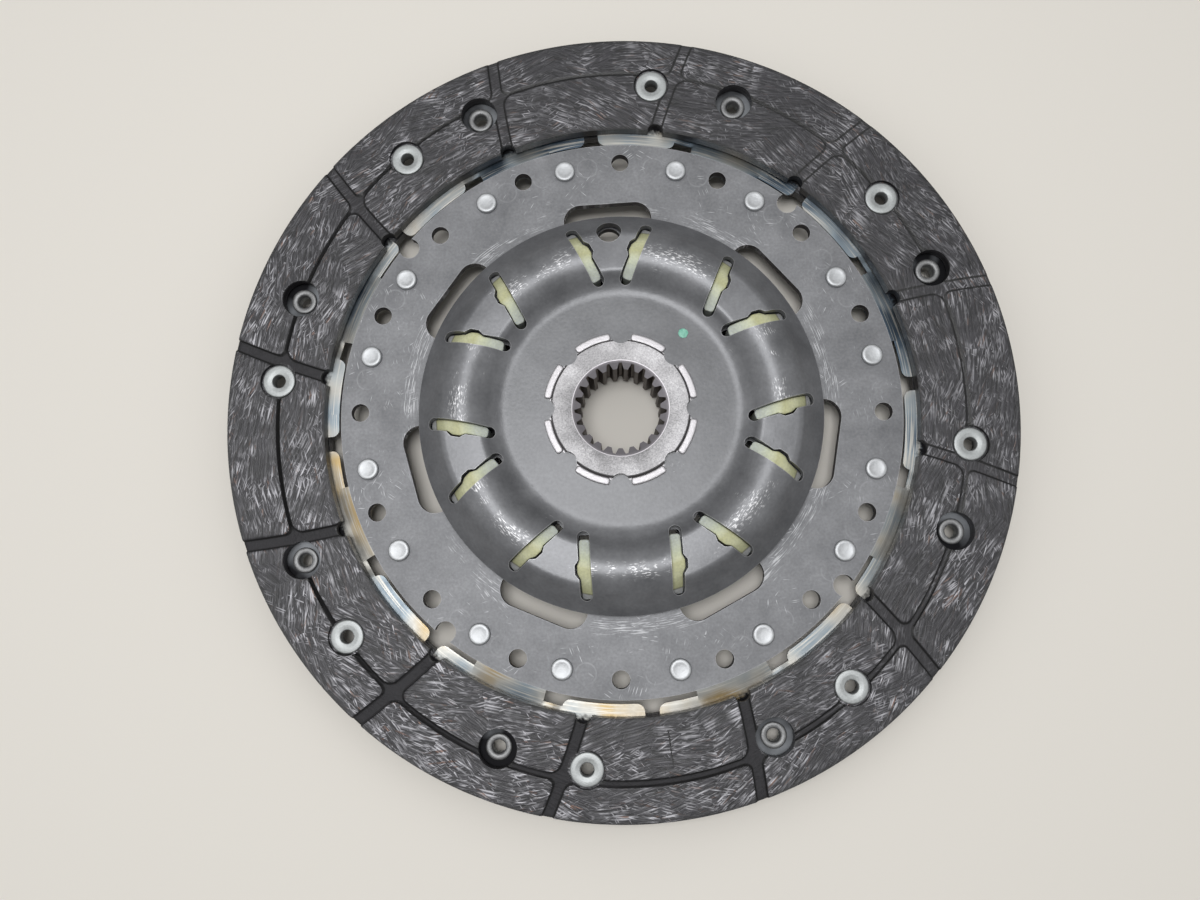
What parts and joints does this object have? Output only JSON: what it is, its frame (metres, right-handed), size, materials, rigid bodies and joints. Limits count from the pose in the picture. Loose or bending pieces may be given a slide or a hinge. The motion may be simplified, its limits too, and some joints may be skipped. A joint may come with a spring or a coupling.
{
  "type": "clutch disc",
  "caption": "Dry friction clutch disc with a splined hub, a sprung torsion damper under toroidal covers, and grooved friction facings on waved segments.",
  "frame": {"origin": "On the disc's axis, at the level on which the disc lies: the crest of the flywheel-side damper cover.", "axes": "+Z is the disc's axis and points to the gearbox side. X and Y are the picture's right and up directions."},
  "size_m": [0.228, 0.228, 0.0233],
  "materials": {
    "hub_steel": "satin",
    "cover_steel": "satin",
    "carrier_steel": "satin",
    "segment_steel": "satin",
    "friction_lining": "matte",
    "rivet_zinc": "satin",
    "rivet_bright": "satin",
    "spring_steel": "satin",
    "seat_plastic": "matte",
    "bush_plastic": "matte"
  },
  "bodies": {
    "hub_group": {"hub": "hub_steel", "front_cover": "cover_steel", "rear_cover": "cover_steel", "friction_ring_gearbox_side": "bush_plastic", "friction_ring_flywheel_side": "bush_plastic", "load_spring": "spring_steel", "damper_spring_1": "spring_steel", "damper_spring_2": "spring_steel", "damper_spring_3": "spring_steel", "damper_spring_4": "spring_steel", "damper_spring_5": "spring_steel", "damper_spring_6": "spring_steel", "damper_spring_7": "spring_steel"},
    "drive_seats": {"drive_seat_1": "seat_plastic", "drive_seat_2": "seat_plastic", "drive_seat_3": "seat_plastic", "drive_seat_4": "seat_plastic", "drive_seat_5": "seat_plastic", "drive_seat_6": "seat_plastic", "drive_seat_7": "seat_plastic"},
    "coast_seats": {"coast_seat_1": "seat_plastic", "coast_seat_2": "seat_plastic", "coast_seat_3": "seat_plastic", "coast_seat_4": "seat_plastic", "coast_seat_5": "seat_plastic", "coast_seat_6": "seat_plastic", "coast_seat_7": "seat_plastic"},
    "friction_disc": {"carrier_plate": "carrier_steel", "centring_bush": "bush_plastic", "cushion_segment_1": "segment_steel", "cushion_segment_2": "segment_steel", "cushion_segment_3": "segment_steel", "cushion_segment_4": "segment_steel", "cushion_segment_5": "segment_steel", "cushion_segment_6": "segment_steel", "cushion_segment_7": "segment_steel", "cushion_segment_8": "segment_steel", "facing_gearbox_side": "friction_lining", "facing_flywheel_side": "friction_lining", "facing_rivets_gearbox_side": "rivet_zinc", "facing_rivets_flywheel_side": "rivet_zinc", "rim_rivets": "rivet_bright"}
  },
  "joints": [
    {"name": "damper_drive", "type": "hinge", "parent": "hub_group", "child": "drive_seats", "pos_m": [0, 0, 0.01165], "axis": [0, 0, 1], "range_deg": [0, 9], "stiffness_Nm_per_rad": 60, "deforming": ["damper_spring_1", "damper_spring_2", "damper_spring_3", "damper_spring_4", "damper_spring_5", "damper_spring_6", "damper_spring_7"]},
    {"name": "damper_coast", "type": "hinge", "parent": "drive_seats", "child": "friction_disc", "pos_m": [0, 0, 0.01165], "axis": [0, 0, 1], "range_deg": [-7, 0], "stiffness_Nm_per_rad": 60},
    {"name": "coast_seat_travel", "type": "hinge", "parent": "hub_group", "child": "coast_seats", "pos_m": [0, 0, 0.01165], "axis": [0, 0, 1], "range_deg": [-7, 0]}
  ],
  "couplings": [
    {"joint": "coast_seat_travel", "follows": "damper_coast", "ratio": 1}
  ]
}
